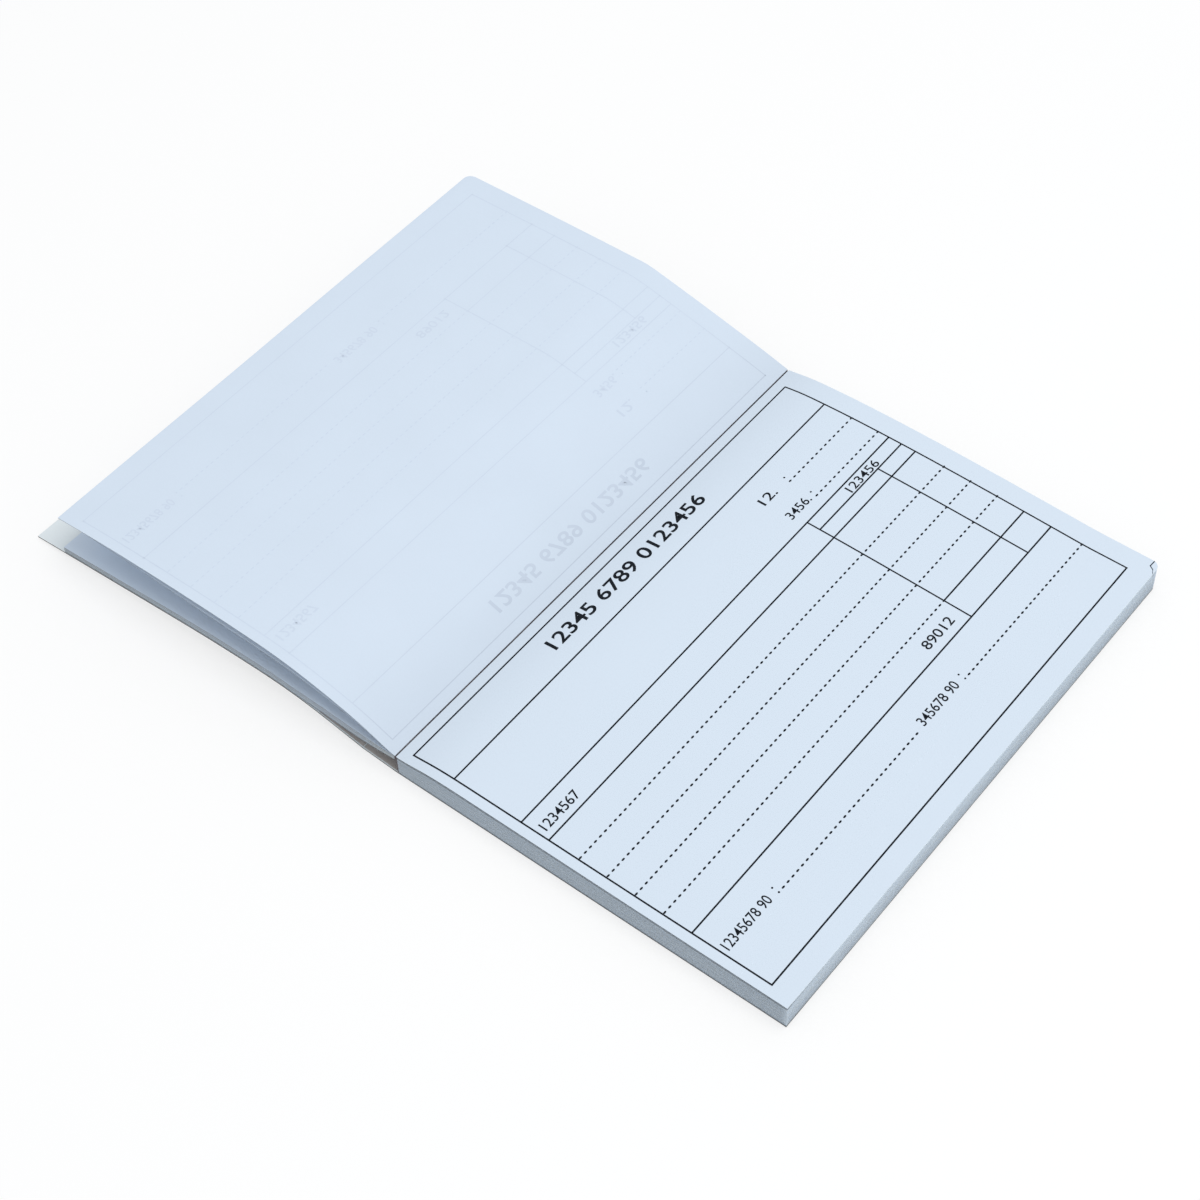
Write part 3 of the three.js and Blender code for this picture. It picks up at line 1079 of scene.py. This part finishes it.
def sliced(mesh):
    """Points and faces of the figures, cut into low strips."""
    cutter = bmesh.new()
    cutter.from_mesh(mesh)
    heights = [vertex.co.y for vertex in cutter.verts]
    for height in np.linspace(min(heights), max(heights), figure_slices + 1)[1:-1]:
        everything = cutter.verts[:] + cutter.edges[:] + cutter.faces[:]
        bmesh.ops.bisect_plane(cutter, geom=everything, plane_co=(0, height, 0), plane_no=(0, 1, 0))
    cutter.verts.index_update()
    points = np.array([vertex.co[:] for vertex in cutter.verts])
    faces = [tuple(vertex.index for vertex in face.verts) for face in cutter.faces]
    cutter.free()
    bpy.data.meshes.remove(mesh)
    return points, faces


def mark(sheet, entry, side):
    """One entry of the marks, on a sheet."""
    text, head, foot, left, right, boldness = entry
    points, faces = sliced(typeset(text, boldness))
    low, high = points.min(axis=0), points.max(axis=0)
    across = left + (points[:, 0] - low[0]) / (high[0] - low[0]) * (right - left)
    down = foot - (points[:, 1] - low[1]) / (high[1] - low[1]) * (foot - head)
    return places_on(sheet, down, across, side), faces


print("marks:", len(marks))

# %% [markdown]
# ## Dotted lines
#
# The dotted lines are rows of short dashes. A second Geometry Nodes tree lays them: it spaces points evenly
# along a line, sets a small flattened peg on each, and turns it to lie flat on the paper. Which way is up
# is carried on the line as an attribute.

# %% The dash tree
peg_sides = 8

dashed_line_inputs = {
    **geometry_socket,
    "Pitch": "Float",
    "Dash Length": "Float",
    "Dash Width": "Float",
    "Dash Height": "Float",
    "Ink": "Material",
}


def dash_tree():
    tree, enter = new_tree("dashed line", "Geometry", dashed_line_inputs, geometry_socket)
    line = node_value(tree, "GeometryNodeMeshToCurve", {"Mesh": enter["Geometry"]})
    spacing = {"Curve": line, "Length": enter["Pitch"]}
    spaced = node_value(tree, "GeometryNodeResampleCurve", spacing, mode="LENGTH")
    unit_peg = {"Vertices": peg_sides, "Radius": 0.5, "Depth": 1.0}
    peg = node_value(tree, "GeometryNodeMeshCylinder", unit_peg)
    up = named_value(tree, "up", "FLOAT_VECTOR")
    tangent = node_value(tree, "GeometryNodeInputTangent")
    axes = {"Primary Axis": up, "Secondary Axis": tangent}
    turn = node_in(tree, "FunctionNodeAxesToRotation", axes, primary_axis="Z", secondary_axis="X")
    sides = {"X": enter["Dash Length"], "Y": enter["Dash Width"], "Z": enter["Dash Height"]}
    size = node_value(tree, "ShaderNodeCombineXYZ", sides)
    dashes = made_real(tree, copies_at(tree, spaced, peg, Rotation=turn.outputs[0], Scale=size))
    node_in(tree, "NodeGroupOutput", {0: with_material(tree, dashes, enter["Ink"])})
    return tree


dashed_line = dash_tree()
print("dash nodes:", len(dashed_line.nodes))

# %% Dotted lines of the form
dash_pitch = 1.70 * mm
dash_length = 1.0 * mm
dash_boldness = 1.2
dash_height = 0.02 * mm
dash_inset = 0.6 * mm
dot_lift = 1.75 * mm
dot_line_length = dash_pitch / 50
upward_step = 1 * mm
short_line_left = 116.7 * mm
lines_right = 142.1 * mm
first_name_left = 23.2 * mm
first_name_right = 73.4 * mm
second_name_left = 94.3 * mm
name_colons = (21.6 * mm, 92.7 * mm)

dotted_rows = [(table_foot - row_pitch * k, frame_left + dash_inset, frame_right) for k in (2, 3, 4)]
dotted_rows += [
    (table_foot - row_pitch, frame_left + dash_inset, amount_left),
    (number_line, short_line_left, lines_right),
    (date_line, short_line_left, lines_right),
    (sign_line, first_name_left, first_name_right),
    (sign_line, second_name_left, lines_right),
]
colon_places = [(line - dot_lift, short_line_left) for line in (number_line, date_line)]
colon_places += [(sign_line - lift, across) for across in name_colons for lift in (dot_lift, 0)]
colon_dots = [(down, across, across + dot_line_length) for down, across in colon_places]


def dash_lines(name, sheet, side, rows):
    """Edges on a sheet for the dash tree, from rows of (distance down, start and end across)."""
    mesh = bpy.data.meshes.new(name)
    points, edges, ups = [], [], []
    for down, start, end in rows:
        count = max(2, int((end - start) / dash_pitch))
        across = np.linspace(start, end, count)
        line = places_on(sheet, np.full(count, down), across, side)
        above = places_on(sheet, np.full(count, down), across, side, ink_lift + upward_step)
        edges += [(len(points) + k, len(points) + k + 1) for k in range(count - 1)]
        points += list(line)
        ups += list((above - line) / np.linalg.norm(above - line, axis=1)[:, None])
    mesh.from_pydata(np.array(points).tolist(), edges, [])
    attribute = mesh.attributes.new("up", "FLOAT_VECTOR", "POINT")
    attribute.data.foreach_set("vector", np.array(ups).ravel().astype(np.float32))
    return mesh


def print_form(name, sheet, side, body, material, weight=rule_weight):
    """The whole form on one face of a sheet: rules and marks in one piece, dashes and dots in two more."""
    points, faces = [], []
    for some_points, some_faces in form_rules(sheet, side, weight) + [mark(sheet, m, side) for m in marks]:
        faces += [tuple(len(points) + k for k in face) for face in some_faces]
        points += list(some_points)
    piece = add_mesh(name + "_rules", points, face_outward(points, faces, side), [material])
    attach(piece, body)
    values = {
        "Pitch": dash_pitch,
        "Dash Length": dash_length,
        "Dash Width": weight * dash_boldness,
        "Dash Height": dash_height,
        "Ink": material,
    }
    dashes = run_tree(name + "_dashes", dash_lines(name, sheet, side, dotted_rows), dashed_line, values)
    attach(dashes, body)
    values["Dash Length"] = values["Dash Width"]
    dots = run_tree(name + "_dots", dash_lines(name + "_dots", sheet, side, colon_dots), dashed_line, values)
    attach(dots, body)
    return dashes


for body, sheet in fresh_sheets.items():
    dashes = print_form("form_" + body, sheet, 1, body, ink)
for body, sheet in turned_sheets.items():
    print_form("form_" + body, sheet, -1, body, ink)
print("dash faces on one form:", len(dashes.data.polygons))

# %% [markdown]
# ## The slit in the corner
#
# At the foot's rounded corner the top slip is slit in an L, and the slit runs on a little way down the cut
# side. It is only a quarter of a millimetre wide, so a dark ribbon of painted shadow stands in for the gap.

# %% The slit
slit_width = 0.26 * mm
slit_run = 1.6 * mm
leaf_drop = 0.35 * mm
slit_corners = [(103.4, 147.9), (103.3, 146.2), (104.35, 146.05), (104.98, 146.25)]


def slit_ribbon(sheet):
    """Points and faces of the slit on the page, one quad for each stretch of its path."""
    path = np.array(slit_corners) * mm
    points, faces = [], []
    for start, end in zip(path[:-1], path[1:]):
        along = (end - start) / np.linalg.norm(end - start) * slit_width / 2
        aside = np.array([-along[1], along[0]])
        start, end = start - along, end + along
        stretch = np.array([start - aside, end - aside, end + aside, start + aside])
        faces.append(tuple(range(len(points), len(points) + 4)))
        points += list(places_on(sheet, stretch[:, 0], stretch[:, 1], 1))
    return np.array(points), faces


def slit_in_side(sheet):
    """Points and the face of the slit's run down the foot side, which narrows to nothing."""
    end = np.array(slit_corners[-1:]) * mm
    top = places_on(sheet, end[:, 0], end[:, 1], 1)[0]
    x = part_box("voucher_1")[1].x + 2 * ink_lift
    half = slit_width / 2
    points = [
        (x, top[1] - half, top[2] - leaf_drop),
        (x, top[1] + half, top[2] - leaf_drop),
        (x, top[1] + 2 * half, top[2] - slit_run),
    ]
    return np.array(points), [(0, 2, 1)]


top_sheet = fresh_sheets["first_leaf"]
points, faces = slit_ribbon(top_sheet)
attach(add_mesh("corner_slit", points, face_outward(points, faces, 1), [slit_shadow]), "first_leaf")
points, faces = slit_in_side(top_sheet)
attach(add_mesh("corner_slit_run", points, faces, [slit_shadow]), "block")
print("slit width, mm:", slit_width / mm)

# %% [markdown]
# ## Print seen through the last turned leaf
#
# The leaf is thin, so its print shows on the blank side as a faint mirror image. It is the same form again,
# laid on the other face in a tone close to the paper's.

# %% Show-through
show_sheet = turned_sheets["last_turned_leaf"]
show_weight = 0.22 * mm
print_form("form_through_paper", show_sheet, 1, "last_turned_leaf", ink_through, show_weight)
print("show-through on:", "last_turned_leaf")

# %% [markdown]
# ## The cover
#
# The cover is one card with two creases. Its panels are sheets like the leaves but thicker, and their cut
# edge is darker: the card's core is grey, and the dark colour also holds painted shadow along the table.

# %% The cover
cover_nodes = {"front_cover": "front_panel", "back_cover": "block", "spine_strip": "spine_panel"}
for node, body in cover_nodes.items():
    grid, thickness = sheet_grid(node)
    piece = sheet_piece(node + "_card", grid, thickness, cover_card, card_edge)
    stands_for(piece, node, body)
print("cover panels:", len(cover_nodes))

# %% [markdown]
# The two creases are short strips of the same card. Each one spans from one panel's edge to the next, as
# they lie here. A darker, warmer skin lies on the strip between them and just beyond it.

# %% The creases
crease_rows = 7
card_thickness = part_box("back_cover")[1].z
darker_skin_thickness = 0.03 * mm
darker_skin_inset = 0.004
spine_darker_skin_reach = 12 * mm
cover_darker_skin_reach = 14 * mm


def panel_edge(node, at_head):
    """The left and right ends, as (x, z), of a panel's middle surface at one of its long edges."""
    row = 0 if at_head else -1
    return [side_line(node, on_left)[row][:2] for on_left in (True, False)]


def crease_strip(name, from_edge, to_edge):
    """A card strip from one panel's edge to the next panel's, blended between the two edges."""
    (from_left, from_right), (to_left, to_right) = np.array(from_edge), np.array(to_edge)
    along = np.linspace(0, 1, crease_rows)[:, None]
    left, right = mixed(from_left, to_left, along), mixed(from_right, to_right, along)
    across = np.tile(np.linspace(0, 1, crosswise), (crease_rows, 1))
    grid = sheet_between(left, right, across)
    piece = sheet_piece(name, grid, card_thickness, cover_card, card_edge)
    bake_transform(piece)


def darker_inner_skin(node, body, reach):
    """A thin skin, darker and warmer than the card, on a panel's inner face out to a reach from its head."""
    grid, thickness = sheet_grid(node)
    from_head = np.abs(grid[:, 0, 0] - grid[0, 0, 0])
    grid = (grid + grid_normals(grid) * (thickness / 2 + darker_skin_thickness))[from_head < reach]
    grid[:, :, 1] = left_y + (grid[:, :, 1] - left_y) * (1 - darker_skin_inset) + width * darker_skin_inset / 2
    piece = sheet_piece(node + "_residue", grid, darker_skin_thickness, darker_skin, darker_skin)
    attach(piece, body)


darker_inner_skin("spine_strip", "spine_panel", spine_darker_skin_reach)
darker_inner_skin("front_cover", "front_panel", cover_darker_skin_reach)
back_head = panel_edge("back_cover", True)
strip_edges = [panel_edge("spine_strip", True), panel_edge("spine_strip", False)]
front_head = panel_edge("front_cover", True)
crease_strip("back_crease_card", back_head, strip_edges[0])
crease_strip("front_crease_card", strip_edges[1], front_head)
print("card thickness, mm:", round(card_thickness / mm, 2))

# %% [markdown]
# ## Glue
#
# Padding glue is brushed on the clamped stack, so it dries as a skin with shallow runs. Each film is a
# rounded bar lofted along the head, lower at its left end, where the stack dips.

# %% Glue films
film_stations = 80
film_levels = 10
film_angle = math.radians(50)
film_least = 0.25
film_swell = 0.63
film_squareness = 8
run_depth = 0.12
run_spacing = 3.1 * mm
run_slant = 5


def glue_film(node, body, outward):
    """A glue skin in the place of its solid. Outward is -1 or 1 along x, away from the leaves."""
    low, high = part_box(node)
    y = np.linspace(low.y, high.y, film_stations)
    share = (y - left_y) / width
    top = high.z - dip_depth * (high.z / gutter_z) * (1 - share)
    level = np.linspace(0, 1, film_levels)
    inner_x, outer_x = (high.x, low.x) if outward < 0 else (low.x, high.x)
    run = np.sin(y[:, None] / run_spacing + run_slant * level[None, :])
    runs = run_depth * (outer_x - inner_x) * run
    rounding = np.sqrt(np.clip(1 - (2 * level - 1) ** film_squareness, 0, 1))
    swelling = (film_least + film_swell * rounding)[None, :]
    outer = inner_x + (outer_x - inner_x) * swelling + runs * rounding[None, :]
    z = low.z + (top[:, None] - low.z) * level[None, :]
    inner = np.full_like(z, inner_x)
    across = np.repeat(y[:, None], film_levels, axis=1)
    points, faces = closed_skin(*[np.stack([x, across, z], axis=2) for x in (outer, inner)])
    # A film's quads are split along their other diagonal, so each starts one corner further on.
    faces = np.roll(faces, -1, axis=1)
    if outward < 0:
        faces = faces[:, ::-1]
    piece = add_mesh(node + "_skin", points, faces, [dried_glue])
    piece.data.polygons.foreach_set("use_smooth", np.ones(len(faces), dtype=bool))
    piece.data.set_sharp_from_angle(angle=film_angle)
    stands_for(piece, node, body)


glue_film("block_glue_film", "block", -1)
glue_film("used_glue_film", "used_bundle", 1)
print("glue stations:", film_stations)
